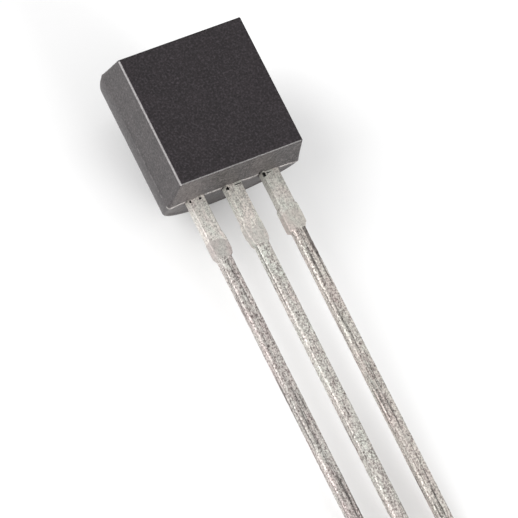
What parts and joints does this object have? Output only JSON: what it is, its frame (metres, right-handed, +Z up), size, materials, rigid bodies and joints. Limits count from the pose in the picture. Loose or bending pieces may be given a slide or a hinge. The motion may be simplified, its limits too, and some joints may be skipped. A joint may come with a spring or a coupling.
{
  "type": "to-92 transistor",
  "caption": "Small through-hole transistor with a half-round moulded body, a flat face and a row of straight tinned leads.",
  "frame": {"origin": "centre of the footprint of the part as it lies, on the surface it rests on", "axes": "+X across the leads, from the emitter side to the collector side; +Y from the lead tips to the moulded body; +Z up. The flat face looks up, tilted 8 degrees towards the leads"},
  "size_m": [0.0046, 0.0188, 0.0041],
  "materials": {
    "moulding": "matte",
    "tinned_lead": "satin",
    "silicon": "polished",
    "solder": "satin",
    "gold_wire": "polished"
  },
  "bodies": {
    "root": {"body": "moulding", "lead_emitter": "tinned_lead", "lead_base": "tinned_lead", "lead_collector": "tinned_lead", "die": "silicon", "die_attach": "solder", "bond_wire_emitter": "gold_wire", "bond_wire_base": "gold_wire"}
  },
  "joints": []
}
